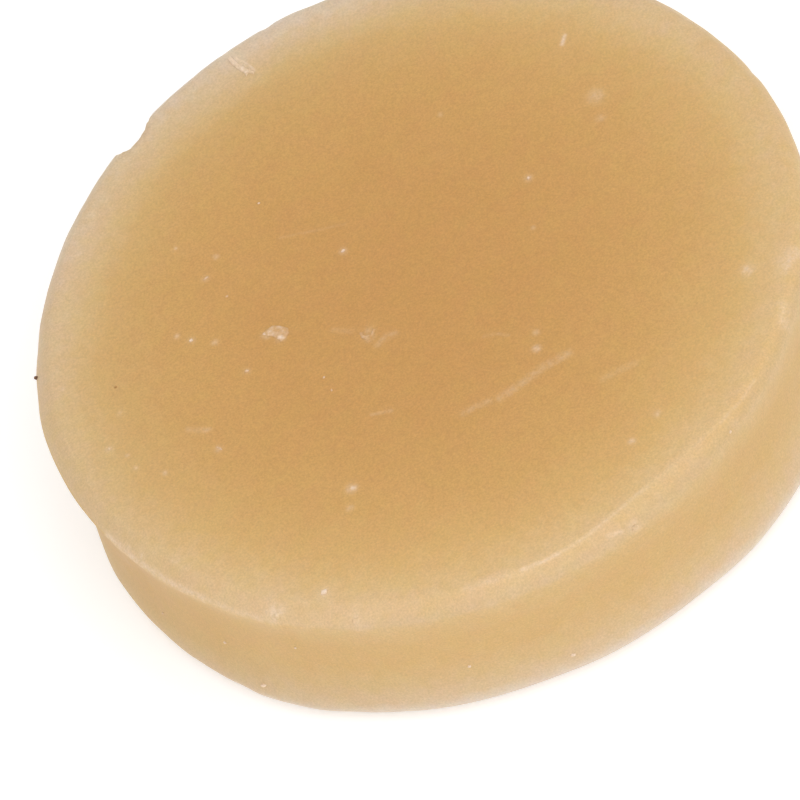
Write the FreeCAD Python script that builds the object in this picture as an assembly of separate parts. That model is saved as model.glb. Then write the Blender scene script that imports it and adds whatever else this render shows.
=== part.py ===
"""A shaving soap puck: one cast disc of amber soap, with the loose bits of soap and grit that cling to it.

Frame: millimetres, +Z up along the puck's axis, origin at the centre of the base, which stands on z = 0.
The cast disc is one piece, as a poured soap is. Every flake, shaving, crumb and grain on it is a solid of
its own, and its underside is the disc's own surface, so that the two meet face to face.
"""

import math
import os

import FreeCAD
import Part

Vector = FreeCAD.Vector
Y_AXIS = Vector(0, 1, 0)
Z_AXIS = Vector(0, 0, 1)
ORIGIN = Vector(0, 0, 0)

# The cast disc
HEIGHT = 15.5  # base to face
RIM_RADIUS = 36.0  # the ridge between the edge band and the side wall
RIM_DROP = 1.6  # the ridge's distance below the face
BAND_WIDTH = 1.8  # the edge band, measured inwards from the ridge
BAND_BULGE = 0.22  # how far the band stands out of its chord
LIP_HEIGHT = 0.5  # the ridge's own short land
LIP_STEP = 0.1  # how far the side wall starts behind the ridge
WAIST_RADIUS = 35.6  # the side wall's narrowest place
WAIST_HEIGHT = 10.2
FOOT_RADIUS = 36.4  # the mould's draft leaves the base a little larger than the face
FOOT_ROUND = 2.2  # the base's edge

# The chip out of the rim: bites of one ball, each at an angle from +X and with its own depth at the ridge
CHIP_BALL = 3.0
CHIP_RISE = 0.9  # the ball's centre, above the face
CHIP_BITES = [
    (114.6, 0.30),
    (116.2, 0.60),
    (117.8, 0.85),
    (119.4, 0.95),
    (120.7, 0.90),
]

# Grains: an irregular ring of this many corners, drawn in to a smaller top
GRAIN_CORNERS = 9
GRAIN_MIDDLE_SHARE = 0.95
GRAIN_MIDDLE_HEIGHT = 0.4  # of the grain's height
GRAIN_TOP_SHARE = 0.55
GRAIN_RAGGEDNESS = 0.16
GRAIN_SINK = 0.35  # how deep a grain starts before the disc is cut out of it
BAND_LEAN = 42  # degrees that the edge band's surface leans from level
WALL_LEAN = 90

# Flakes lying on the face: thin, and drawn as the outline that each has from above
FLAKE_THICKNESS = 0.18
LARGE_FLAKE = [
    (-14.3, 2.7),
    (-14.0, 2.2),
    (-13.5, 1.9),
    (-13.2, 1.3),
    (-13.0, 0.8),
    (-12.4, 1.0),
    (-11.9, 1.4),
    (-11.8, 2.0),
    (-12.4, 2.7),
    (-13.0, 3.1),
    (-13.7, 3.0),
]
CURLED_FLAKE = [
    (-6.5, -2.2),
    (-6.5, -2.9),
    (-6.2, -3.4),
    (-5.8, -3.6),
    (-5.3, -3.2),
    (-4.9, -2.7),
    (-5.2, -2.4),
    (-5.6, -2.9),
    (-6.0, -2.8),
    (-6.1, -2.2),
]
RIM_SHAVING = [
    (-5.9, 33.4),
    (-5.8, 32.6),
    (-5.5, 31.7),
    (-5.1, 30.9),
    (-5.1, 30.3),
    (-4.7, 30.6),
    (-4.3, 30.1),
    (-4.1, 30.5),
    (-4.5, 31.2),
    (-5.0, 32.1),
    (-5.4, 33.4),
]

# Grains on the face: x, y, length, width, height, turn in degrees
FACE_CRUMBS = [
    (-4.4, 7.0, 0.55, 0.40, 0.18, 10),
    (13.3, 4.8, 0.50, 0.45, 0.18, 60),
    (-16.5, 11.4, 0.75, 0.35, 0.14, 12),
    (-15.5, 8.4, 0.50, 0.35, 0.12, 12),
    (-20.1, 5.7, 0.55, 0.45, 0.16, 20),
    (-16.9, -0.3, 0.50, 0.45, 0.14, 0),
    (-11.0, -4.9, 0.40, 0.30, 0.12, 30),
    (-10.9, -6.6, 0.40, 0.30, 0.12, 75),
    (-22.1, -6.7, 0.85, 0.35, 0.12, -58),
    (-30.9, -1.1, 0.50, 0.45, 0.12, 45),
    (-9.2, 16.4, 0.40, 0.30, 0.12, 0),
    (-19.4, -26.4, 0.85, 0.65, 0.24, 0),
]
FACE_GRIT = [(-28.0, 4.9, 0.34, 0.26, 0.12, 30)]

# Grains on the edge band or the side wall: angle from +X, z, length along the rim, width, height, turn
RIM_CRUMBS = [
    (-78.2, 14.5, 0.8, 0.7, 0.20, 20),
    (-133.0, 14.8, 0.9, 0.7, 0.14, 60),
    (-120.8, 14.8, 1.0, 0.8, 0.12, 0),
    (-58.5, 14.6, 0.5, 0.4, 0.12, 30),
]
SIDE_CRUMBS = [
    (-145.8, 7.2, 0.45, 0.40, 0.14, 0),
    (-140.5, 3.2, 0.80, 0.50, 0.14, 30),
    (-132.2, 10.2, 0.35, 0.30, 0.12, 0),
    (-108.1, 6.2, 0.45, 0.35, 0.12, 0),
    (-94.0, 3.4, 0.60, 0.45, 0.14, 0),
    (-159.5, 5.4, 0.35, 0.30, 0.12, 50),
]
EDGE_GRIT = [(162.2, 14.3, 0.6, 0.4, 0.24, 80)]

OUT_FOLDER = "parts"


def arc(start, through, end):
    return Part.Arc(start, through, end).toShape()


def line(start, end):
    return Part.LineSegment(start, end).toShape()


def at(radius, height):
    """A point of the profile, which is drawn in the XZ plane."""
    return Vector(radius, 0, height)


def rounded_corner(centre, radius):
    """The middle of the quarter round that turns from the base up into the side wall."""
    half_turn = math.radians(45)
    return centre + at(radius * math.sin(half_turn), -radius * math.cos(half_turn))


def cast_disc():
    """The disc, revolved: base, rounded foot, slightly waisted side wall, ridge, edge band and face."""
    foot_centre = at(FOOT_RADIUS - FOOT_ROUND, FOOT_ROUND)
    foot_start = at(FOOT_RADIUS - FOOT_ROUND, 0)
    foot_end = at(FOOT_RADIUS, FOOT_ROUND)
    ridge = at(RIM_RADIUS, HEIGHT - RIM_DROP)
    lip_bottom = at(RIM_RADIUS - LIP_STEP, HEIGHT - RIM_DROP - LIP_HEIGHT)
    face_edge = at(RIM_RADIUS - BAND_WIDTH, HEIGHT)
    chord = face_edge - ridge
    outwards = Vector(chord.z, 0, -chord.x).normalize()
    band_middle = (ridge + face_edge) * 0.5 + outwards * BAND_BULGE
    profile = Part.Wire(
        [
            line(at(0, 0), foot_start),
            arc(foot_start, rounded_corner(foot_centre, FOOT_ROUND), foot_end),
            arc(foot_end, at(WAIST_RADIUS, WAIST_HEIGHT), lip_bottom),
            line(lip_bottom, ridge),
            arc(ridge, band_middle, face_edge),
            line(face_edge, at(0, HEIGHT)),
            line(at(0, HEIGHT), at(0, 0)),
        ]
    )
    return Part.Face(profile).revolve(ORIGIN, Z_AXIS, 360)


def bite(angle, depth):
    """A ball outside the rim that is cut out of it: depth deep at the ridge, and deeper at the face."""
    turn = math.radians(angle)
    reach = math.sqrt(CHIP_BALL**2 - (CHIP_RISE + RIM_DROP) ** 2)
    distance = RIM_RADIUS - depth + reach
    centre = Vector(distance * math.cos(turn), distance * math.sin(turn), HEIGHT + CHIP_RISE)
    return Part.makeSphere(CHIP_BALL, centre)


def soap_body():
    body = cast_disc()
    for angle, depth in CHIP_BITES:
        body = body.cut(bite(angle, depth))
    return body


def ragged_ring(length, width, height, phase):
    """A closed ring of corners about the Z axis, unevenly drawn in so that no two grains look alike."""
    corners = []
    for i in range(GRAIN_CORNERS):
        turn = 2 * math.pi * i / GRAIN_CORNERS
        share = 1 + GRAIN_RAGGEDNESS * math.sin(3.1 * i + phase)
        x = length / 2 * share * math.cos(turn)
        y = width / 2 * share * math.sin(turn)
        corners.append(Vector(x, y, height))
    return Part.makePolygon(corners + corners[:1])


def grain(length, width, height, phase):
    """One grain about the origin: its widest ring lies GRAIN_SINK below the surface that it will sit on."""
    middle_length = length * GRAIN_MIDDLE_SHARE
    middle_width = width * GRAIN_MIDDLE_SHARE
    low = ragged_ring(length, width, -GRAIN_SINK, phase)
    middle = ragged_ring(middle_length, middle_width, height * GRAIN_MIDDLE_HEIGHT, phase)
    top = ragged_ring(length * GRAIN_TOP_SHARE, width * GRAIN_TOP_SHARE, height, phase)
    return Part.makeLoft([low, middle, top], True, True)


def flake(outline):
    """A thin slab of soap lying on the face."""
    corners = [Vector(x, y, HEIGHT) for x, y in outline]
    loop = Part.makePolygon(corners + corners[:1])
    return Part.Face(loop).extrude(Z_AXIS * FLAKE_THICKNESS)


def face_grains(body, specs):
    grains = []
    for x, y, length, width, height, turn in specs:
        solid = grain(length, width, height, x + y)
        solid.rotate(ORIGIN, Z_AXIS, turn)
        solid.translate(Vector(x, y, HEIGHT))
        grains.append(solid.cut(body))
    return grains


def reach_of(body, height):
    """How far from the axis the body's surface lies at a height, measured along +X."""
    ray = Part.makeLine(Vector(0, 0, height), Vector(2 * FOOT_RADIUS, 0, height))
    return ray.common(body).BoundBox.XMax


def edge_grains(body, specs):
    """Grains on the disc's edge, each standing out along the surface there."""
    grains = []
    for angle, z, length, width, height, turn in specs:
        lean = BAND_LEAN if z > HEIGHT - RIM_DROP else WALL_LEAN
        solid = grain(width, length, height, angle + z)
        solid.rotate(ORIGIN, Z_AXIS, turn)
        solid.rotate(ORIGIN, Y_AXIS, lean)
        solid.translate(at(reach_of(body, z), z))
        solid.rotate(ORIGIN, Z_AXIS, angle)
        grains.append(solid.cut(body))
    return grains


def nodes():
    """Every node of the puck: its name, and its solid or its separate solids."""
    body = soap_body()
    return {
        "soap_body": [body],
        "large_soap_flake": [flake(LARGE_FLAKE)],
        "curled_soap_flake": [flake(CURLED_FLAKE)],
        "rim_shaving": [flake(RIM_SHAVING)],
        "face_crumbs": face_grains(body, FACE_CRUMBS),
        "rim_crumbs": edge_grains(body, RIM_CRUMBS),
        "side_crumbs": edge_grains(body, SIDE_CRUMBS),
        "dark_grit": face_grains(body, FACE_GRIT) + edge_grains(body, EDGE_GRIT),
    }


def main():
    os.makedirs(OUT_FOLDER, exist_ok=True)
    for name, pieces in nodes().items():
        solids = [solid for piece in pieces for solid in piece.Solids]
        shape = Part.makeCompound(solids) if len(solids) > 1 else solids[0]
        print(f"{name}: {len(solids)} solids, {shape.Volume:.3f} mm3, valid {shape.isValid()}")
        shape.exportStep(os.path.join(OUT_FOLDER, name + ".step"))


main()
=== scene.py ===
"""The looks of the shaving soap puck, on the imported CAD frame.

The cast disc and each group of loose grains are rebuilt as detailed meshes that stand for their CAD nodes.
Shapes are worked out in millimetres, in the CAD's own frame, and turned into metres when a mesh is made.
Angles are in degrees from +X towards +Y, seen from above.
"""

import math

import bpy
import numpy as np
from mathutils import Matrix, Vector, noise
from mathutils.bvhtree import BVHTree
from mathutils.geometry import delaunay_2d_cdt


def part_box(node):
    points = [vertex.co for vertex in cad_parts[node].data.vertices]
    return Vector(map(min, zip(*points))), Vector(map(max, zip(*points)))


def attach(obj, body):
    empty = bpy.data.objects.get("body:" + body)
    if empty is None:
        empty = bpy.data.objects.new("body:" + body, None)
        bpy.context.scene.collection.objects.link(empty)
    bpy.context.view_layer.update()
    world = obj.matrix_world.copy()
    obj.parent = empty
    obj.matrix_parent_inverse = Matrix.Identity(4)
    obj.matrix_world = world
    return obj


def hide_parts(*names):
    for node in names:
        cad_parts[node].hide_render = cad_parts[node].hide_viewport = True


MM = 0.001
BODY = "root"  # the body that every piece rides on

# The disc's profile. Its height and the radius of its base come from the CAD frame.
RIM_RADIUS = 36.0
RIM_DROP = 1.6
BAND_BULGE = 0.15
LIP_HEIGHT = 0.5  # the ridge's own short land
WAIST_DEPTH = 0.5  # how far the side wall is drawn in halfway up
FOOT_ROUND = 2.2
SOFTENED_ROWS = (9, 8)  # rows of the mesh above and below the ridge that round over with it
SOFTENING = 0.5  # how far each round of smoothing draws a row towards its neighbours' middle

# How the cast departs from true circles, as (angle, millimetres outwards)
RIM_OUT_OF_ROUND = [
    (-174, -0.1),
    (-165, -0.25),
    (-150, -0.3),
    (-128, 0.0),
    (-97, 0.1),
    (-60, -0.1),
    (0, 0.1),
    (24, -0.2),
    (60, -0.2),
    (84, -0.37),
    (88, -0.15),
    (97, -0.38),
    (110, -0.48),
    (122, -0.32),
    (140, -0.32),
    (155, -0.19),
    (163, 0.02),
    (172, 0.16),
    (180, 0.03),
]
FOOT_OUT_OF_ROUND = [
    (-172, -0.45),
    (-163, -0.32),
    (-154, -0.13),
    (-146, 0.02),
    (-141, 0.26),
    (-133, 0.28),
    (-126, 0.0),
    (-119, -0.13),
    (-98, -0.5),
    (-88, -0.33),
    (-76, -0.32),
    (-62, 0.15),
    (60, -0.1),
    (150, -0.3),
    (176, -0.86),
]

# The ridge between the edge band and the side wall: (angle, rounds of smoothing), and (angle, step under it)
RIDGE_SOFTNESS = [(-160, 3), (-140, 5), (-118, 26), (-85, 30), (-62, 18), (-30, 8), (40, 10), (120, 4)]
LIP_STEP = [(-168, 0.32), (-145, 0.28), (-120, 0.12), (-40, 0.12), (100, 0.12), (170, 0.3)]

# The edge band's inner side, as (angle, distance from the axis), and the fine raised crease on the band:
# (angle, height), its middle and half width as shares of the band's width, how soon it starts and how far it
# leans out
BAND_INNER = [(-110, 33.9), (-92, 33.9), (-75, 33.5), (-66, 33.8), (-54, 34.4), (-20, 34.5), (120, 34.2)]
CREASE_HEIGHT = [(-125, 0.0), (-108, 0.03), (-95, 0.06), (-84, 0.05), (-70, 0.0)]
CREASE_MIDDLE = 0.08
CREASE_WIDTH = 0.07
CREASE_START = 12
CREASE_LEAN = 0.5

# How gently the face rolls over into the band, from 0 for an edge to 1: (angle, roundness)
ROLL = [(-95, 0.0), (-72, 0.25), (-55, 0.7), (-10, 0.7), (40, 0.2), (170, 0.0)]

# The chip out of the rim: (angle, depth at the ridge), and its share of that depth by height
CHIP = [
    (112.6, 0.0),
    (113.3, 0.15),
    (114.4, 0.40),
    (115.7, 0.59),
    (117.4, 0.80),
    (119.0, 0.89),
    (121.0, 0.87),
    (121.8, 0.75),
    (122.7, 0.0),
]
CHIP_SHARE = [(11.8, 0.0), (12.8, 0.7), (13.9, 1.0), (15.5, 2.2)]

# Small nicks in the rim: angle, half width in degrees, depth
NICKS = [(92.3, 0.9, 0.30), (99.8, 0.7, 0.10), (105.5, 0.6, 0.06), (-131.0, 1.2, 0.08), (8.0, 1.0, 0.08)]

# The cast's unevenness: each wave's height, and the lengths of its slow and its fine part
RIM_WAVE, RIM_WAVE_LENGTH = 0.05, 2.6
FACE_WAVE, FACE_WAVE_LENGTHS = 0.05, (11.0, 3.0)
WALL_WAVE, WALL_WAVE_LENGTHS = 0.05, (7.0, 1.5)
BASE_HOLLOW, BASE_HOLLOW_LENGTH = 0.03, 6.0
FINE_WAVE_SHARE = 0.3
FACE_WAVE_REACH = (34.6, 31.5)  # the face's waves grow between these distances from the axis
WALL_WAVE_FOOT = (0.3, 2.5)  # the wall's grow between these heights
WALL_WAVE_TOP = 1.0  # and fade over this distance below the face
NOISE_STEPS = (17.3, 5.1, 9.7)  # how far each seed moves through the noise

# Mesh density of the disc: numbers of points and rows, and distances between points
AROUND = 720
BAND_ROWS = 16
WALL_ROWS = 34
FOOT_ROWS = 8
FACE_SPACING = 0.46
BASE_SPACING = 1.3
FINE_SPACING = 0.12
ZONE_STEP = 0.4  # between the fine zones along a streak
EDGE_GAP = 0.6  # between the edge and the first points inside it, in spacings

# Pale marks on the face: x, y, radius, strength
FLECKS = [
    (-13.2, -17.5, 0.42, 0.62),
    (-14.1, -19.3, 0.34, 0.26),
    (6.9, -12.9, 0.38, 0.34),
    (7.5, -11.3, 0.34, 0.19),
    (10.5, -26.9, 0.34, 0.30),
    (13.6, -25.5, 0.34, 0.27),
    (22.1, 9.7, 0.75, 0.24),
    (21.5, 7.2, 0.40, 0.16),
    (-29.8, -15.7, 0.40, 0.30),
    (-32.4, -13.1, 0.26, 0.36),
    (-33.2, -11.6, 0.22, 0.36),
    (-14.8, 13.1, 0.26, 0.32),
    (-21.1, 6.9, 0.26, 0.30),
    (-23.2, 24.1, 0.36, 0.24),
    (-18.3, 4.3, 0.30, 0.25),
    (-17.7, 16.1, 0.15, 0.45),
    (-27.4, -6.4, 0.26, 0.25),
    (-28.6, 1.9, 0.34, 0.18),
    (-29.7, -2.7, 0.20, 0.28),
    (-29.5, -4.4, 0.20, 0.26),
    (-32.4, 7.5, 0.24, 0.26),
    (-25.6, 20.6, 0.30, 0.22),
    (9.0, 16.0, 0.26, 0.18),
    (11.6, -0.5, 0.22, 0.20),
    (26.5, -15.8, 0.60, 0.34),
    (-18.0, -30.2, 0.60, 0.26),
    (-24.2, -25.4, 0.62, 0.42),
    (-23.6, -25.7, 0.45, 0.30),
    (7.3, -34.5, 0.45, 0.28),
    (-19.4, -26.4, 0.50, 0.35),
    (-4.4, 7.0, 0.36, 0.25),
    (13.3, 4.8, 0.36, 0.25),
    (-13.9, 2.4, 0.42, 0.30),
    (-12.9, 1.3, 0.45, 0.22),
    (-5.8, -3.2, 0.50, 0.18),
    (-5.6, -2.6, 0.55, 0.14),
    (-30.9, -1.1, 0.36, 0.30),
    (-20.1, 5.7, 0.36, 0.22),
    (-22.2, -6.7, 0.36, 0.20),
    (-16.9, -0.3, 0.32, 0.20),
    (-16.5, 11.4, 0.34, 0.22),
]

# Scratches, smears and painted highlights: strength, half width, and the line that each follows; a negative
# one is darker
STREAKS = [
    (0.12, 0.36, [(-1.4, -15.7), (-0.2, -15.6), (1.0, -15.8)]),
    (0.15, 0.42, [(2.1, -16.0), (4.6, -15.6), (6.8, -15.1), (9.2, -15.0)]),
    (0.10, 0.34, [(10.9, -19.3), (12.3, -19.2), (14.0, -19.4)]),
    (0.08, 0.20, [(3.3, -9.0), (4.4, -9.4), (5.2, -10.1)]),
    (0.13, 0.18, [(-8.7, -11.1), (-7.0, -11.7)]),
    (0.06, 0.16, [(-8.9, 11.7), (-6.1, 10.7), (-3.1, 9.7)]),
    (0.45, 0.20, [(22.2, 17.7), (21.6, 16.9)]),
    (0.14, 0.34, [(-5.4, -4.4), (-4.5, -4.0), (-3.7, -4.1)]),
    (0.32, 0.45, [(29.0, -17.8), (30.0, -17.1), (31.0, -16.2)]),
    (0.24, 0.45, [(27.8, -21.0), (27.1, -22.6)]),
    (0.16, 0.26, [(-23.8, -3.2), (-22.9, -3.9), (-22.2, -4.3)]),
    (0.08, 0.30, [(-8.3, -0.6), (-7.6, -1.2), (-7.0, -1.6)]),
    # these follow the band's crease and paint its highlight line
    (0.15, 0.34, [(-8.2, -33.1), (-5.2, -33.7), (-2.2, -34.2)]),
    (0.34, 0.17, [(-3.2, -34.0), (-1.2, -34.2), (0.4, -34.2)]),
    (0.22, 0.16, [(0.4, -34.2), (2.8, -34.0), (6.3, -33.1), (9.9, -32.1)]),
    (0.06, 0.15, [(9.9, -32.1), (14.0, -30.9), (18.0, -29.5)]),
    (0.15, 0.13, [(18.0, -29.5), (20.5, -28.3), (22.5, -26.8)]),
    (0.30, 0.15, [(4.9, -34.6), (6.2, -34.6)]),
    # these follow the lower-left ridge and paint its highlight line
    (0.30, 0.26, [(-34.5, -8.6), (-33.0, -13.1), (-30.9, -17.4), (-29.2, -20.1)]),
    (0.18, 0.22, [(-29.2, -20.1), (-27.4, -22.6), (-25.4, -24.9)]),
    # darker lines that also sink into the face: a faint scratch, and a dent whose darker colour is painted
    # shade in its groove
    (-0.13, 0.20, [(21.2, 6.5), (20.6, 3.6), (19.8, -0.4), (19.5, -2.8)]),
    (
        -0.22,
        0.24,
        [(-11.9, -13.1), (-11.5, -12.3), (-10.8, -12.0), (-10.0, -11.8), (-9.5, -11.9), (-9.4, -12.6)],
    ),
    (0.22, 0.30, [(-5.8, 33.9), (-5.3, 32.6), (-4.8, 31.7), (-4.4, 31.0)]),
    (0.42, 0.11, [(-5.9, 34.5), (-5.1, 32.9), (-4.6, 32.1), (-4.2, 31.1), (-4.1, 30.6)]),
]
MARK_RISE = 0.05  # how far a full mark stands out of the face
MARK_REACH = 2.0  # the finer mesh round a mark, in the mark's own radii

# Loose grains, by node: whiteness from 0 as the disc to 1, width of the sloping edge, and share of the CAD
# grain's height that shows
PALE_GRAINS = {
    "large_soap_flake": (0.34, 0.24, 0.5),
    "curled_soap_flake": (0.26, 0.20, 0.5),
    "rim_shaving": (0.50, 0.14, 0.5),
    "face_crumbs": (0.50, 0.10, 0.6),
    "rim_crumbs": (0.20, 0.16, 0.5),
    "side_crumbs": (1.1, 0.08, 0.9),
}
GRIT_FORM = (0, 0.04, 0.9)  # the dark grit's

# The whitest places of the pale grains, and the faint grain of the grit: x, y, radius, strength
WHITE_PLACES = [
    (-14.15, 2.45, 0.40, 1.0),
    (-13.5, 2.3, 0.50, 0.60),
    (-12.9, 1.3, 0.45, 0.72),
    (-19.4, -26.4, 0.60, 0.90),
    (18.4, -30.0, 0.60, 0.90),
    (-24.0, -25.6, 0.50, 0.45),
    (-4.4, 7.0, 0.30, 0.95),
    (13.3, 4.8, 0.30, 0.75),
    (-20.1, 5.7, 0.30, 0.75),
    (-28.0, 4.9, 0.60, 1.0),
]

# A grain's white is patchy: its mean and its swing as shares of the whiteness, and the patches' length
WHITE_MEAN, WHITE_SWING, WHITE_LENGTH = 0.9, 0.5, 0.5
WHITE_EDGE = 2  # how fast the white comes up from the grain's outline

# The grains' shapes
OUTLINE_FACING = 0.5  # points that face outwards from the disc by less than this are on the outline
GRAIN_VOXEL = 0.035  # the mesh's spacing
GRAIN_ROUNDS = 5  # of smoothing
GRAIN_LUMPS, GRAIN_LUMP_LENGTH = 0.04, 0.3  # the lumps' height and length
GRAIN_SINK = 0.02  # how deep a grain's outline lies in the disc

# How milky the soap is, from 0 in the thick amber middle to 1 at the thin foot: by distance from the axis on
# the face, by height on the wall, and what is added by angle to the face's outer part, the band and the
# wall;
# the band's and the wall's additions also paint shade
FACE_PALENESS = [
    (0, 0.0),
    (10, 0.04),
    (15, 0.08),
    (20, 0.16),
    (24, 0.26),
    (28, 0.40),
    (30, 0.50),
    (32, 0.60),
    (34.2, 0.71),
    (36.0, 0.76),
]
WALL_PALENESS = [
    (0.0, 1.05),
    (1.5, 1.0),
    (3.0, 0.80),
    (5.0, 0.64),
    (8.0, 0.50),
    (11.0, 0.47),
    (13.0, 0.54),
    (14.6, 0.72),
]
FACE_PALENESS_TURN = [(-180, 0.0), (-135, 0.02), (0, -0.02), (45, 0.08), (90, 0.24), (135, 0.16)]
# lower on the band's side towards the lamp: painted shade that tones down the lamp's sheen there
BAND_PALENESS_AND_SHADE_TURN = [(-150, 0.0), (-100, -0.02), (-75, -0.05), (-50, -0.09), (-20, -0.06), (60, 0.0)]
# lower on the wall's side away from the lamp: partly painted shade, partly a deeper amber
WALL_PALENESS_AND_SHADE_TURN = [(-165, -0.22), (-150, -0.11), (-135, -0.02), (-115, 0.0), (0, 0.0), (150, -0.1)]
FACE_TURN_REACH = (25, 34.5)  # the face's addition grows between these distances from the axis
BAND_TURN_REACH = (33.6, 35)  # and the band's between these
WALL_BLEND = 0.5  # the height over which the band's paleness passes into the wall's
FOOT_FADE = 5.0  # the base's pale edge, measured inwards

# The painted shade of the wall, which begins at (angle, height) and is full at SHADE_DEPTH below that,
# fuller towards the foot, and of the face's outer part on some sides: (angle, amount)
SHADE_TOP = [(-165, 14.0), (-135, 14.2), (-112, 15.3), (-40, 15.5), (-10, 14.6), (40, 14.1)]
SHADE_DEPTH = 0.9
WALL_SHADE_TURN = [(-160, 0.6), (-142, 0.45), (-125, 0.55), (-105, 0.7), (-85, 0.9), (-60, 1.0), (150, 0.8)]
FACE_SHADE_TURN = [(-180, 0.55), (-140, 0.15), (-110, 0.0), (0, 0.2), (45, 0.3), (90, 0.7), (135, 0.6)]
FACE_SHADE_REACH = (18, 32)  # the face's painted shade grows between these distances from the axis
FOOT_SHADE_REACH = (9, 4)  # the wall's painted shade grows to its full amount between these heights

# Colours as a screen shows them, from 0 to 255; the soap's by paleness
SOAP_COLOURS = [
    (0.0, (199, 149, 82)),
    (0.26, (206, 161, 94)),
    (0.48, (212, 172, 108)),
    (0.62, (216, 181, 124)),
    (0.80, (220, 189, 145)),
    (1.0, (226, 206, 180)),
]
# the pale marks' and grains' colour, also that of the painted highlights
WHITE_SOAP_AND_HIGHLIGHT = (238, 214, 190)
# the darker lines' colour; in the dent it is painted shade
DARK_LINE = (176, 126, 66)
GRIT_COLOURS = [(96, 66, 50), (150, 112, 82)]
FAINT_GRIT = (190, 148, 90)
WALL_SHADE = (0.90, 0.92, 0.97, 1)  # what the painted shade multiplies the colour by

# The soap's unevenness: each noise's scale per metre, and how strongly it tells
CLOUD_SCALE, CLOUD_SHARE = 180, 0.10
MOTTLE_SCALE, MOTTLE_SHARE = 900, 0.16
GRAIN_SCALE, GRAIN_SHARE = 5600, 0.38
HUE_SCALE = 500
HUE_STOPS = (0.35, 0.65)
PINKISH = (0.995, 0.97, 0.995, 1)
YELLOWISH = (0.985, 0.99, 0.965, 1)
RAGGED_SCALE, RAGGED_SHARE = 2300, 3.0  # the marks' ragged edges
ROUGHNESS_SCALE, ROUGHNESS_SHARE = 900, 0.16
SKIN_FINE_SCALE, SKIN_COARSE_SCALE = 1500, 350

# The soap's skin, and how light spreads inside it: the distances for red, green and blue, as shares of the
# material's own scatter in millimetres
SOAP_ROUGHNESS = 0.52
SOAP_IOR = 1.47
SKIN_BUMP, SKIN_DEPTH = 0.25, 0.05  # the bump's strength, and its depth in millimetres
SCATTER_WEIGHT = 0.3
SCATTER_SHARES = (0.8, 0.75, 0.7)
DISC_SCATTER = 1.0
GRAIN_SCATTER = 0.1

GRIT_SCALE = 3000
GRIT_STOPS = (0.3, 0.7)
GRIT_ROUGHNESS = 0.7

# The studio: lamp and sky strengths, and places and sizes in metres
FLOOR_SIZE = 3.0
FLOOR_COLOUR = (0.92, 0.92, 0.92, 1)
FLOOR_ROUGHNESS = 0.9
FLOOR_GLOW = 0.25
WHITE_LIGHT = (1, 1, 1, 1)
SKY_HORIZON = 0.46
SKY_ZENITH = 1.19
KEY_SIDE = (0.04, -0.14, 0.0)  # how much brighter the sky is on the key's side
KEY_PLACE = (0.09, -0.25, 0.22)
KEY_SIZE = 0.3
KEY_POWER = 0.2

# The camera: its angles in degrees, its distance and the point that it looks at in metres
CAMERA_ELEVATION = 51.542
CAMERA_ROLL = -26.954
CAMERA_DISTANCE = 0.9
CAMERA_AIM = (-0.005896, -0.009891, 0.013929)
CAMERA_LENS = 457.9


def around(angles, stops):
    """The value at each angle between stops of (angle, value), turning smoothly from one to the next."""
    where = np.array([s[0] for s in stops], float)
    value = np.array([s[1] for s in stops], float)
    where = np.concatenate([where - 360, where, where + 360])
    value = np.tile(value, 3)
    order = np.argsort(where)
    where, value = where[order], value[order]
    after = np.clip(np.searchsorted(where, angles, side="right"), 1, len(where) - 1)
    share = (angles - where[after - 1]) / (where[after] - where[after - 1])
    share = (1 - np.cos(np.pi * np.clip(share, 0, 1))) / 2
    return value[after - 1] + (value[after] - value[after - 1]) * share


def between(values, stops):
    """The value at each place between stops of (place, value)."""
    return np.interp(values, *zip(*stops))


def smooth_step(low, high, values):
    share = np.clip((values - low) / (high - low), 0, 1)
    return share * share * (3 - 2 * share)


def arch(share):
    """0 at both ends and 1 in the middle."""
    return 4 * share * (1 - share)


def noise_at(points, length, seed):
    """Smooth noise between about -1 and 1 at points in millimetres; length is the size of its lumps."""
    offset = Vector([seed * step for step in NOISE_STEPS])
    return np.array([noise.noise(Vector(p) / length + offset) for p in points])


def waves(points, lengths, seed):
    """Slow waves with finer ones on them."""
    slow, fine = lengths
    return noise_at(points, slow, seed) + FINE_WAVE_SHARE * noise_at(points, fine, seed + 1)


def distance_to_line(points, line):
    """Each point's distance from a run of straight pieces, in plan."""
    best = np.full(len(points), np.inf)
    for start, end in zip(line, line[1:]):
        a = np.array(start)
        step = np.array(end) - a
        share = np.clip(((points - a) @ step) / (step @ step), 0, 1)
        best = np.minimum(best, np.linalg.norm(points - a - share[:, None] * step, axis=1))
    return best


def distance_from_axis(points):
    return np.linalg.norm(points[:, :2], axis=1)


def angle_of(points):
    return np.degrees(np.arctan2(points[:, 1], points[:, 0]))


# ---------------------------------------------------------------- the disc's shape


def rim_at(angles):
    """The ridge's distance from the axis, with its nicks."""
    ring = np.radians(angles)
    circle = np.stack([np.cos(ring), np.sin(ring), np.zeros_like(ring)], axis=1) * RIM_RADIUS
    wave = RIM_WAVE * noise_at(circle, RIM_WAVE_LENGTH, seed=1)
    radius = RIM_RADIUS + around(angles, RIM_OUT_OF_ROUND) + wave
    for angle, half_width, depth in NICKS:
        radius -= depth * np.exp(-(((angles - angle) / half_width) ** 2))
    return radius


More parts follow.
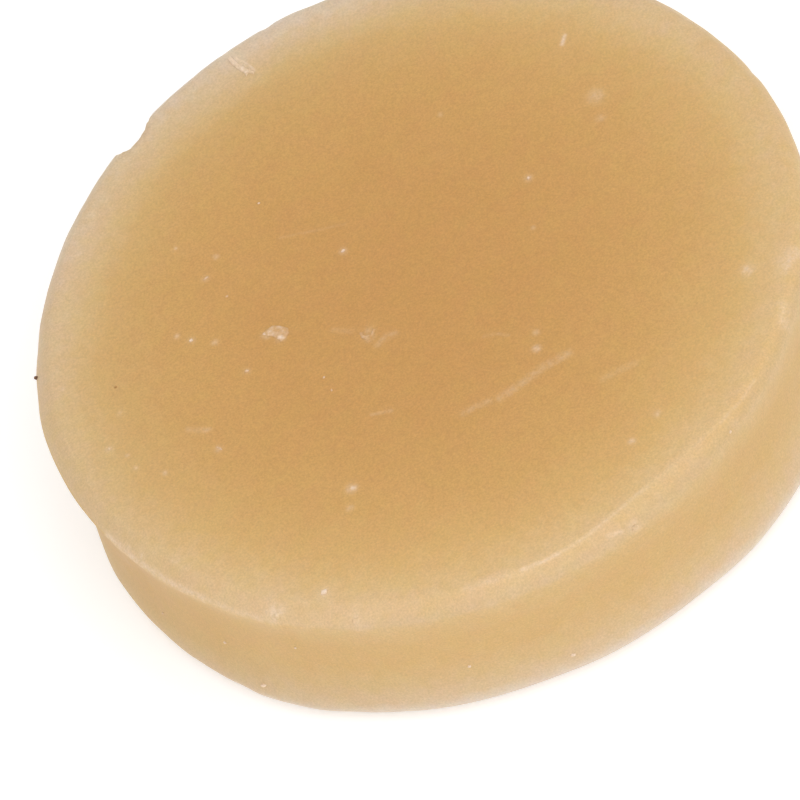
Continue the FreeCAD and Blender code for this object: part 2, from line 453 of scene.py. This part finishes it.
def band_rows(angles, height):
    """Rows of the edge band, from the face down to the ridge: each is (distance from the axis, height)."""
    rim = rim_at(angles)
    inner = around(angles, BAND_INNER)
    crease = around(angles, CREASE_HEIGHT)
    roll = around(angles, ROLL)
    rows = []
    for i in range(BAND_ROWS + 1):
        share = i / BAND_ROWS
        bulge = BAND_BULGE * arch(share) * (1 - roll)
        drop = RIM_DROP * share * (1 - roll * (1 - share))
        form = math.exp(-(((share - CREASE_MIDDLE) / CREASE_WIDTH) ** 2))
        raised = crease * form * min(1, CREASE_START * share)
        radius = inner + (rim - inner) * share + bulge + raised * CREASE_LEAN
        rows.append((radius, height - drop + bulge + raised))
    return rows


def wall_rows(angles, height, base_radius):
    """Rows of the side wall and the rounded foot, from under the ridge down to the base."""
    top_radius = rim_at(angles) - around(angles, LIP_STEP)
    foot = base_radius + around(angles, FOOT_OUT_OF_ROUND)
    top = height - RIM_DROP - LIP_HEIGHT
    rows = []
    for i in range(WALL_ROWS + 1):
        share = i / WALL_ROWS
        radius = top_radius * (1 - share) + foot * share - WAIST_DEPTH * arch(share)
        rows.append((radius, np.full_like(angles, top + (FOOT_ROUND - top) * share)))
    for i in range(1, FOOT_ROWS + 1):
        turn = math.pi / 2 * i / FOOT_ROWS
        radius = foot - FOOT_ROUND * (1 - math.cos(turn))
        rows.append((radius, np.full_like(angles, FOOT_ROUND * (1 - math.sin(turn)))))
    return rows


def soften_ridge(radius, level, angles):
    """Rounds the ridge over, row against row, more where the cast came out softer."""
    softness = around(angles, RIDGE_SOFTNESS)
    rows_above, rows_below = SOFTENED_ROWS
    near = slice(BAND_ROWS - rows_above, BAND_ROWS + rows_below)
    for step in range(int(softness.max())):
        share = np.clip(softness - step, 0, 1) * SOFTENING
        for field in (radius, level):
            part = field[near]
            middle = part[1:-1]
            middle += share * ((part[:-2] + part[2:]) / 2 - middle)


def cut_chip(radius, level, angles):
    """Takes the chip out of the rim, deepest at the face and running out down the wall."""
    depth = around(angles, CHIP) * ((angles > CHIP[0][0]) & (angles < CHIP[-1][0]))
    rim = rim_at(angles)
    for row in range(len(radius)):
        limit = rim - depth * between(level[row], CHIP_SHARE)
        cut = (depth > 0) & (level[row] > CHIP_SHARE[0][0])
        radius[row] = np.where(cut, np.minimum(radius[row], limit), radius[row])


def edge_grid(height, base_radius):
    """The band, wall and foot as rows of points all round, from the face's edge down to the base's."""
    angles = -180 + 360 * np.arange(AROUND) / AROUND
    rows = band_rows(angles, height) + wall_rows(angles, height, base_radius)
    radius = np.array([row[0] for row in rows])
    level = np.array([row[1] for row in rows])
    soften_ridge(radius, level, angles)
    cut_chip(radius, level, angles)
    turn = np.radians(angles)
    points = np.stack([radius * np.cos(turn), radius * np.sin(turn), level], axis=2).reshape(-1, 3)
    swell = WALL_WAVE * waves(points, WALL_WAVE_LENGTHS, seed=2)
    swell *= smooth_step(*WALL_WAVE_FOOT, points[:, 2])
    swell *= smooth_step(height, height - WALL_WAVE_TOP, points[:, 2])
    outwards = points[:, :2] / distance_from_axis(points)[:, None]
    points[:, :2] += outwards * swell[:, None]
    return points


def fine_zones():
    """Places of the face that need a finer mesh: (x, y, radius)."""
    zones = [(x, y, MARK_REACH * radius) for x, y, radius, _ in FLECKS]
    for _, half_width, line in STREAKS:
        for (ax, ay), (bx, by) in zip(line, line[1:]):
            steps = max(1, round(math.dist((ax, ay), (bx, by)) / ZONE_STEP))
            for i in range(steps + 1):
                share = i / steps
                zones.append((ax + (bx - ax) * share, ay + (by - ay) * share, MARK_REACH * half_width))
    return zones


def rings_of_points(limit, spacing):
    """Points spread evenly over a disc of radius limit."""
    points = [(0.0, 0.0)]
    rings = int(limit / spacing)
    for ring in range(1, rings + 1):
        radius = limit * ring / rings
        count = round(2 * math.pi * radius / spacing)
        turns = 2 * math.pi * (np.arange(count) + 0.5 * (ring % 2)) / count
        points += list(zip(radius * np.cos(turns), radius * np.sin(turns)))
    return np.array(points)


def disc_points(edge, spacing, zones):
    """Points spread over the inside of a round edge, closer together in the fine zones."""
    limit = distance_from_axis(edge).min() - spacing * EDGE_GAP
    points = rings_of_points(limit, spacing)
    if not zones:
        return points
    centres = np.array([zone[:2] for zone in zones])
    reach = np.array([zone[2] for zone in zones])
    points = points[(np.linalg.norm(points[:, None] - centres, axis=2) > reach).all(axis=1)]
    low, high = centres.min(axis=0) - reach.max(), centres.max(axis=0) + reach.max()
    columns = np.arange(low[0], high[0], FINE_SPACING)
    lines = np.arange(low[1], high[1], FINE_SPACING)
    grid = np.stack(np.meshgrid(columns, lines), axis=2).reshape(-1, 2)
    fine = np.zeros(len(grid), bool)
    for centre, radius in zip(centres, reach):
        fine |= np.linalg.norm(grid - centre, axis=1) < radius
    fine &= distance_from_axis(grid) < limit
    return np.concatenate([points, grid[fine]])


def triangulate(edge, inside):
    """Triangles of the area inside edge. Numbers below len(edge) are edge points, the rest inside points."""
    flat = [Vector(p) for p in np.concatenate([edge, inside])]
    loop = list(range(len(edge)))
    keep_inside, nearness = 1, 1e-7
    _, _, faces, origins, _, _ = delaunay_2d_cdt(flat, [], [loop], keep_inside, nearness)
    return [[origins[i][0] for i in face] for face in faces]


def marks_at(points):
    """The face's marks, with the painted highlights along the crease and the ridge, at points in plan: above
    0 where paler, below 0 where darker.
    """
    mark = np.zeros(len(points))
    for x, y, radius, strength in FLECKS:
        away = np.hypot(points[:, 0] - x, points[:, 1] - y) / radius
        mark = np.maximum(mark, strength * np.exp(-(away**2)))
    for strength, half_width, line in STREAKS:
        streak = strength * np.exp(-((distance_to_line(points, line) / half_width) ** 2))
        mark = np.maximum(mark, streak) if strength > 0 else mark + streak
    return mark


def face_height(points, height):
    """The face's height at each point in plan: slow waves, fine unevenness and its marks."""
    solid = np.column_stack([points, np.zeros(len(points))])
    calm = smooth_step(*FACE_WAVE_REACH, distance_from_axis(points))
    wave = calm * waves(solid, FACE_WAVE_LENGTHS, seed=4)
    return height - FACE_WAVE + FACE_WAVE * wave + MARK_RISE * marks_at(points)


def paleness(points, height):
    """How milky the soap is at each point, with painted shade by angle on the band and the wall."""
    across = distance_from_axis(points)
    angles = angle_of(points)
    inwards = between(across, FACE_PALENESS)
    inwards += around(angles, FACE_PALENESS_TURN) * smooth_step(*FACE_TURN_REACH, across)
    inwards += around(angles, BAND_PALENESS_AND_SHADE_TURN) * smooth_step(*BAND_TURN_REACH, across)
    down = between(points[:, 2], WALL_PALENESS) + around(angles, WALL_PALENESS_AND_SHADE_TURN)
    ridge = height - RIM_DROP
    on_wall = smooth_step(ridge + WALL_BLEND, ridge, points[:, 2])
    on_base = smooth_step(RIM_RADIUS, RIM_RADIUS - FOOT_FADE, across) * (points[:, 2] < FOOT_ROUND / 2)
    on_wall *= 1 - on_base
    return inwards * (1 - on_wall) + down * on_wall


def shade(points):
    """How much painted shade each point has."""
    angles = angle_of(points)
    on_wall = smooth_step(0, SHADE_DEPTH, around(angles, SHADE_TOP) - points[:, 2])
    amount = around(angles, WALL_SHADE_TURN)
    on_wall *= amount + (1 - amount) * smooth_step(*FOOT_SHADE_REACH, points[:, 2])
    on_face = around(angles, FACE_SHADE_TURN) * smooth_step(*FACE_SHADE_REACH, distance_from_axis(points))
    return np.maximum(on_wall, on_face)


# ---------------------------------------------------------------- meshes


def mesh_object(name, points, faces):
    """A smooth-shaded object from points in millimetres."""
    mesh = bpy.data.meshes.new(name)
    mesh.from_pydata([tuple(p) for p in points * MM], [], faces)
    mesh.update()
    smooth_shade(mesh)
    piece = bpy.data.objects.new(name, mesh)
    bpy.context.scene.collection.objects.link(piece)
    return piece


def smooth_shade(mesh):
    mesh.polygons.foreach_set("use_smooth", np.ones(len(mesh.polygons), bool))


def add_looks(piece, points, height, marks):
    """Writes the values that the soap's material reads at each point."""
    # painted shade, lifted where a mark is pale
    painted_shade = shade(points) * (1 - np.clip(marks, 0, 1))
    for name, values in (("paleness", paleness(points, height)), ("shade", painted_shade), ("mark", marks)):
        layer = piece.data.attributes.new(name, "FLOAT", "POINT")
        layer.data.foreach_set("value", values.astype(np.float32))


def edge_faces(rows):
    """Quads between neighbouring rows of the edge grid."""
    faces = []
    for row in range(rows - 1):
        above = row * AROUND
        below = above + AROUND
        for i in range(AROUND):
            j = (i + 1) % AROUND
            faces.append([above + i, below + i, below + j, above + j])
    return faces


def cap_faces(edge, inside, edge_start, inside_start):
    """Triangles of the face or the base, by the numbers that the whole disc's points have."""
    number = [*range(edge_start, edge_start + AROUND), *range(inside_start, inside_start + len(inside))]
    return [[number[i] for i in face] for face in triangulate(edge, inside)]


def base_height(points):
    """The base's height at each point in plan: a little hollow, and never under the floor."""
    solid = np.column_stack([points, np.zeros(len(points))])
    return np.maximum(BASE_HOLLOW + BASE_HOLLOW * noise_at(solid, BASE_HOLLOW_LENGTH, seed=6), 0)


def make_disc(height, base_radius):
    """The whole cast disc as one closed mesh."""
    grid = edge_grid(height, base_radius)
    top_edge, base_edge = grid[:AROUND, :2], grid[-AROUND:, :2]
    inside = disc_points(top_edge, FACE_SPACING, fine_zones())
    top = np.column_stack([inside, face_height(inside, height)])
    under = disc_points(base_edge, BASE_SPACING, [])
    bottom = np.column_stack([under, base_height(under)])
    points = np.concatenate([grid, top, bottom])

    faces = edge_faces(len(grid) // AROUND)
    faces += cap_faces(top_edge, inside, 0, len(grid))
    base = cap_faces(base_edge, under, len(grid) - AROUND, len(grid) + len(top))
    faces += [face[::-1] for face in base]
    piece = mesh_object("soap_disc", points, faces)
    on_face = points[:, 2] > height - RIM_DROP
    add_looks(piece, points, height, marks_at(points[:, :2]) * on_face)
    return piece


def remeshed(node):
    """A finely remeshed copy of a CAD node, in the frame's own place."""
    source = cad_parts[node]
    mesh = source.data.copy()
    mesh.transform(source.matrix_world)
    piece = bpy.data.objects.new("detailed_" + node, mesh)
    bpy.context.scene.collection.objects.link(piece)
    remesh = piece.modifiers.new("remesh", "REMESH")
    remesh.mode = "VOXEL"
    remesh.voxel_size = GRAIN_VOXEL * MM
    smooth = piece.modifiers.new("smooth", "SMOOTH")
    smooth.iterations = GRAIN_ROUNDS
    graph = bpy.context.evaluated_depsgraph_get()
    fine = bpy.data.meshes.new_from_object(piece.evaluated_get(graph))
    piece.modifiers.clear()
    piece.data = fine
    smooth_shade(fine)
    return piece


def separate_grains(mesh):
    """The numbers of the points of each separate grain in a mesh."""
    neighbours = [[] for _ in mesh.vertices]
    for edge in mesh.edges:
        a, b = edge.vertices
        neighbours[a].append(b)
        neighbours[b].append(a)
    seen = np.zeros(len(neighbours), bool)
    grains = []
    for start in range(len(neighbours)):
        if seen[start]:
            continue
        seen[start] = True
        grain = [start]
        for point in grain:
            for other in neighbours[point]:
                if not seen[other]:
                    seen[other] = True
                    grain.append(other)
        grains.append(grain)
    return grains


def plateau(points, facing, slope):
    """The grain's form at each point: 0 at its outline and underneath, 1 on top inside the sloping edge."""
    outline = points[np.abs(facing) < OUTLINE_FACING]
    away = np.array([np.linalg.norm(outline - point, axis=1).min() for point in points])
    away[facing < OUTLINE_FACING] = 0
    return smooth_step(0, min(slope, away.max()), away)


def seat_grains(mesh, surface, slope, rise_share):
    """Lays each grain down on the disc's surface, with a sloping edge.

    Returns each point's place in the grain's form, from 0 at its outline to 1 on its top.
    """
    nearest = [surface.find_nearest(vert.co)[:2] for vert in mesh.vertices]
    places = np.array([place for place, _ in nearest]) / MM
    facing = np.array([vert.normal.dot(out) for vert, (_, out) in zip(mesh.vertices, nearest)])
    rise = np.array([(vert.co - place).dot(out) / MM for vert, (place, out) in zip(mesh.vertices, nearest)])
    top = np.zeros(len(rise))
    for grain in separate_grains(mesh):
        top[grain] = plateau(places[grain], facing[grain], slope)
        rise[grain] = (rise[grain] - rise[grain].min()) * rise_share * top[grain] - GRAIN_SINK
    lumps = 1 + noise_at(places, GRAIN_LUMP_LENGTH, seed=7)
    rise += GRAIN_LUMPS * lumps * top
    for vert, (place, out), distance in zip(mesh.vertices, nearest, rise):
        vert.co = place + out * (distance * MM)
    mesh.update()
    return top


def make_grains(node, surface, height, whiteness, slope, rise_share):
    """A node's grains, rounded, lumpy and seated on the disc; whitest in their middles."""
    piece = remeshed(node)
    top = seat_grains(piece.data, surface, slope, rise_share)
    points = np.array([vert.co for vert in piece.data.vertices]) / MM
    white = whiteness * (WHITE_MEAN + WHITE_SWING * noise_at(points, WHITE_LENGTH, seed=8))
    for x, y, radius, strength in WHITE_PLACES:
        away = np.hypot(points[:, 0] - x, points[:, 1] - y) / radius
        white = np.maximum(white, strength * np.exp(-(away**2)))
    add_looks(piece, points, height, np.clip(white, 0, 1) * np.minimum(1, WHITE_EDGE * top))
    return piece


# ---------------------------------------------------------------- materials


def srgb(colour):
    """A colour as a screen shows it, from 0 to 255, as the linear colour that a shader takes."""
    return (*[((c / 255 + 0.055) / 1.055) ** 2.4 for c in colour], 1.0)


class Shader:
    """A material's node tree, with short ways to add its nodes."""

    def __init__(self, name):
        self.material = bpy.data.materials.new(name)
        self.material.use_nodes = True
        self.nodes = self.material.node_tree.nodes
        self.main = self.nodes["Principled BSDF"]
        self.place = self.nodes.new("ShaderNodeTexCoord").outputs["Object"]

    def link(self, value, socket):
        """Feeds a socket from another node's output, or sets it to a plain value."""
        if isinstance(value, bpy.types.NodeSocket):
            self.material.node_tree.links.new(value, socket)
        else:
            socket.default_value = value

    def noise(self, scale, detail=2, rough=0.5):
        texture = self.nodes.new("ShaderNodeTexNoise")
        texture.inputs["Scale"].default_value = scale
        texture.inputs["Detail"].default_value = detail
        texture.inputs["Roughness"].default_value = rough
        self.link(self.place, texture.inputs["Vector"])
        return texture.outputs["Fac"]

    def attribute(self, name):
        node = self.nodes.new("ShaderNodeAttribute")
        node.attribute_name = name
        return node.outputs["Fac"]

    def math(self, operation, first, second):
        node = self.nodes.new("ShaderNodeMath")
        node.operation = operation
        self.link(first, node.inputs[0])
        self.link(second, node.inputs[1])
        return node.outputs["Value"]

    def swing(self, noise_value, share):
        """A noise turned into a swing about zero."""
        return self.math("MULTIPLY", self.math("SUBTRACT", noise_value, 0.5), share)

    def ramp(self, value, stops):
        node = self.nodes.new("ShaderNodeValToRGB")
        elements = node.color_ramp.elements
        elements[0].position, elements[0].color = stops[0]
        elements[1].position, elements[1].color = stops[-1]
        for position, colour in stops[1:-1]:
            elements.new(position).color = colour
        self.link(value, node.inputs["Fac"])
        return node.outputs["Color"]

    def mix(self, share, first, second, blend="MIX"):
        node = self.nodes.new("ShaderNodeMixRGB")
        node.blend_type = blend
        self.link(share, node.inputs["Fac"])
        self.link(first, node.inputs["Color1"])
        self.link(second, node.inputs["Color2"])
        return node.outputs["Color"]

    def bump(self, value, strength, depth):
        node = self.nodes.new("ShaderNodeBump")
        node.inputs["Strength"].default_value = strength
        node.inputs["Distance"].default_value = depth * MM
        self.link(value, node.inputs["Height"])
        self.link(node.outputs["Normal"], self.main.inputs["Normal"])


def soap_material(name, scatter):
    """Translucent soap: amber to cream by paleness, mottled and finely grained, with a satin skin.

    Light spreads inside it over about scatter millimetres.
    """
    shader = Shader(name)
    clouds = shader.swing(shader.noise(CLOUD_SCALE, detail=3), CLOUD_SHARE)
    milk = shader.math("ADD", shader.attribute("paleness"), clouds)
    milk = shader.math("ADD", milk, shader.swing(shader.noise(MOTTLE_SCALE), MOTTLE_SHARE))
    colour = shader.ramp(milk, [(position, srgb(c)) for position, c in SOAP_COLOURS])
    # painted shade, darker on the wall and on parts of the face's outer edge
    colour = shader.mix(shader.attribute("shade"), colour, WALL_SHADE, "MULTIPLY")
    tint = shader.ramp(shader.noise(HUE_SCALE), list(zip(HUE_STOPS, (PINKISH, YELLOWISH))))
    colour = shader.mix(1.0, colour, tint, "MULTIPLY")

    mark = shader.attribute("mark")
    ragged = shader.math("ADD", 1.0, shader.swing(shader.noise(RAGGED_SCALE, detail=3), RAGGED_SHARE))
    # pale marks, and the painted highlights along the crease and the ridge
    colour = shader.mix(shader.math("MULTIPLY", mark, ragged), colour, srgb(WHITE_SOAP_AND_HIGHLIGHT))
    # darker lines; in the dent this is painted shade
    colour = shader.mix(shader.math("MULTIPLY", mark, -1.0), colour, srgb(DARK_LINE))

    grain = shader.noise(GRAIN_SCALE, detail=1, rough=0.6)
    speckle = shader.math("ADD", 1.0, shader.swing(grain, GRAIN_SHARE))
    colour = shader.mix(1.0, colour, speckle, "MULTIPLY")
    shader.link(colour, shader.main.inputs["Base Color"])

    uneven = shader.swing(shader.noise(ROUGHNESS_SCALE, detail=3), ROUGHNESS_SHARE)
    shader.link(shader.math("ADD", SOAP_ROUGHNESS, uneven), shader.main.inputs["Roughness"])
    shader.main.inputs["IOR"].default_value = SOAP_IOR
    shader.main.inputs["Subsurface Weight"].default_value = SCATTER_WEIGHT
    shader.main.inputs["Subsurface Radius"].default_value = SCATTER_SHARES
    shader.main.inputs["Subsurface Scale"].default_value = scatter * MM
    fine_skin = shader.noise(SKIN_FINE_SCALE, detail=4, rough=0.6)
    skin = shader.math("ADD", fine_skin, shader.noise(SKIN_COARSE_SCALE))
    shader.bump(skin, SKIN_BUMP, SKIN_DEPTH)
    return shader.material


def grit_material():
    """Dark brown grains, unevenly coloured, and fainter where they are marked."""
    shader = Shader("dark_grit")
    stops = [(position, srgb(c)) for position, c in zip(GRIT_STOPS, GRIT_COLOURS)]
    colour = shader.ramp(shader.noise(GRIT_SCALE), stops)
    colour = shader.mix(shader.attribute("mark"), colour, srgb(FAINT_GRIT))
    shader.link(colour, shader.main.inputs["Base Color"])
    shader.main.inputs["Roughness"].default_value = GRIT_ROUGHNESS
    return shader.material


# ---------------------------------------------------------------- the studio and the camera


def make_floor():
    bpy.ops.mesh.primitive_plane_add(size=FLOOR_SIZE, location=(0, 0, 0))
    floor = bpy.context.object
    floor.name = "floor"
    shader = Shader("floor")
    shader.main.inputs["Base Color"].default_value = FLOOR_COLOUR
    shader.main.inputs["Roughness"].default_value = FLOOR_ROUGHNESS
    shader.main.inputs["Specular IOR Level"].default_value = 0.0
    shader.main.inputs["Emission Color"].default_value = WHITE_LIGHT
    shader.main.inputs["Emission Strength"].default_value = FLOOR_GLOW
    floor.data.materials.append(shader.material)


def make_key_light():
    lamp = bpy.data.lights.new("key", "AREA")
    lamp.shape = "DISK"
    lamp.size = KEY_SIZE
    lamp.energy = KEY_POWER
    light = bpy.data.objects.new("key", lamp)
    light.location = KEY_PLACE
    light.visible_camera = False
    light.rotation_euler = Vector(KEY_PLACE).to_track_quat("Z", "Y").to_euler()
    bpy.context.scene.collection.objects.link(light)


def make_sky():
    """A soft light: brightest overhead, dimmer at the horizon, a little brighter on the key side."""
    world = bpy.data.worlds.new("studio")
    world.use_nodes = True
    bpy.context.scene.world = world
    nodes, links = world.node_tree.nodes, world.node_tree.links
    place = nodes.new("ShaderNodeTexCoord")
    split = nodes.new("ShaderNodeSeparateXYZ")
    links.new(place.outputs["Generated"], split.inputs["Vector"])
    rise = nodes.new("ShaderNodeMapRange")
    rise.inputs["To Min"].default_value = SKY_HORIZON
    rise.inputs["To Max"].default_value = SKY_ZENITH
    links.new(split.outputs["Z"], rise.inputs["Value"])
    side = nodes.new("ShaderNodeVectorMath")
    side.operation = "DOT_PRODUCT"
    side.inputs[1].default_value = KEY_SIDE
    links.new(place.outputs["Generated"], side.inputs[0])
    total = nodes.new("ShaderNodeMath")
    links.new(rise.outputs["Result"], total.inputs[0])
    links.new(side.outputs["Value"], total.inputs[1])
    nodes["Background"].inputs["Color"].default_value = WHITE_LIGHT
    links.new(total.outputs["Value"], nodes["Background"].inputs["Strength"])


def make_camera():
    tilt = math.radians(CAMERA_ELEVATION)
    roll = math.radians(CAMERA_ROLL)
    back = Vector((0, -math.cos(tilt), math.sin(tilt)))
    level_right = Vector((1, 0, 0))
    level_up = Vector((0, math.sin(tilt), math.cos(tilt)))
    right = math.cos(roll) * level_right + math.sin(roll) * level_up
    up = math.cos(roll) * level_up - math.sin(roll) * level_right
    data = bpy.data.cameras.new("camera")
    data.lens = CAMERA_LENS
    camera = bpy.data.objects.new("camera", data)
    turn = Matrix((right, up, back)).transposed().to_4x4()
    camera.matrix_world = Matrix.Translation(Vector(CAMERA_AIM) + back * CAMERA_DISTANCE) @ turn
    bpy.context.scene.collection.objects.link(camera)
    bpy.context.scene.camera = camera


# ---------------------------------------------------------------- the scene


def finish_piece(piece, material, node):
    piece.data.materials.clear()
    piece.data.materials.append(material)
    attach(piece, BODY)
    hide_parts(node)


def make_puck():
    """The disc, the pale grains and the grit, each standing for its CAD node."""
    low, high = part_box("soap_body")
    height = high[2] / MM
    disc = make_disc(height, (high[0] - low[0]) / MM / 2)
    corners = [vert.co for vert in disc.data.vertices]
    surface = BVHTree.FromPolygons(corners, [face.vertices[:] for face in disc.data.polygons])
    finish_piece(disc, soap_material("amber_soap", DISC_SCATTER), "soap_body")
    pale = soap_material("pale_soap", GRAIN_SCATTER)
    for node, form in PALE_GRAINS.items():
        finish_piece(make_grains(node, surface, height, *form), pale, node)
    grit = make_grains("dark_grit", surface, height, *GRIT_FORM)
    finish_piece(grit, grit_material(), "dark_grit")


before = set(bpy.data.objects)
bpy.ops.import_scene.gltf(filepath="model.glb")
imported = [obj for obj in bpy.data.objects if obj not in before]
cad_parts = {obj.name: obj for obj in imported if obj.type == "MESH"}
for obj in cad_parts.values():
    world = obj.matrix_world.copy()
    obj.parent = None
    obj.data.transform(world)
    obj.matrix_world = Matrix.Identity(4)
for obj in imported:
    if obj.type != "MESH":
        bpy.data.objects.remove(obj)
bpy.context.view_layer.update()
bpy.context.scene.view_settings.view_transform = "Standard"
make_sky()
make_key_light()
make_floor()
make_camera()
make_puck()
